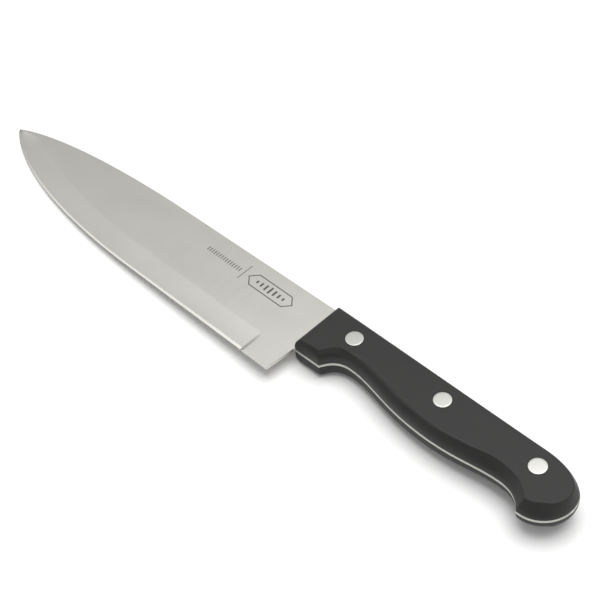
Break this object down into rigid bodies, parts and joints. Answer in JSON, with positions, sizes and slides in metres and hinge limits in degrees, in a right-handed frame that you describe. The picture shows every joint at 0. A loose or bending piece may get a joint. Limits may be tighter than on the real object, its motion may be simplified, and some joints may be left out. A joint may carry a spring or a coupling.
{
  "type": "chef knife",
  "caption": "Full-tang chef's knife: drop-heel steel blade, contoured black handle scales with a finger groove and hooked butt, flush rivets.",
  "frame": {"origin": "middle of the knife's length and depth, on the plane of the left scale's flat outer face, which is the table when the knife lies on its side", "axes": "+X along the knife from the blade's tip to the handle's butt, -Y towards the cutting edge, +Z through the thickness from the left scale to the right scale"},
  "size_m": [0.3422, 0.0438, 0.0155],
  "materials": {
    "blade_steel": "satin ground stainless steel with a bright sharpened edge",
    "handle_plastic": "satin black moulded plastic",
    "rivet_steel": "light satin steel, ground flush"
  },
  "bodies": {
    "root": {"blade": "blade_steel", "right_scale": "handle_plastic", "left_scale": "handle_plastic", "front_rivet_pin": "rivet_steel", "front_rivet_tube": "rivet_steel", "middle_rivet_pin": "rivet_steel", "middle_rivet_tube": "rivet_steel", "rear_rivet_pin": "rivet_steel", "rear_rivet_tube": "rivet_steel"}
  },
  "joints": []
}
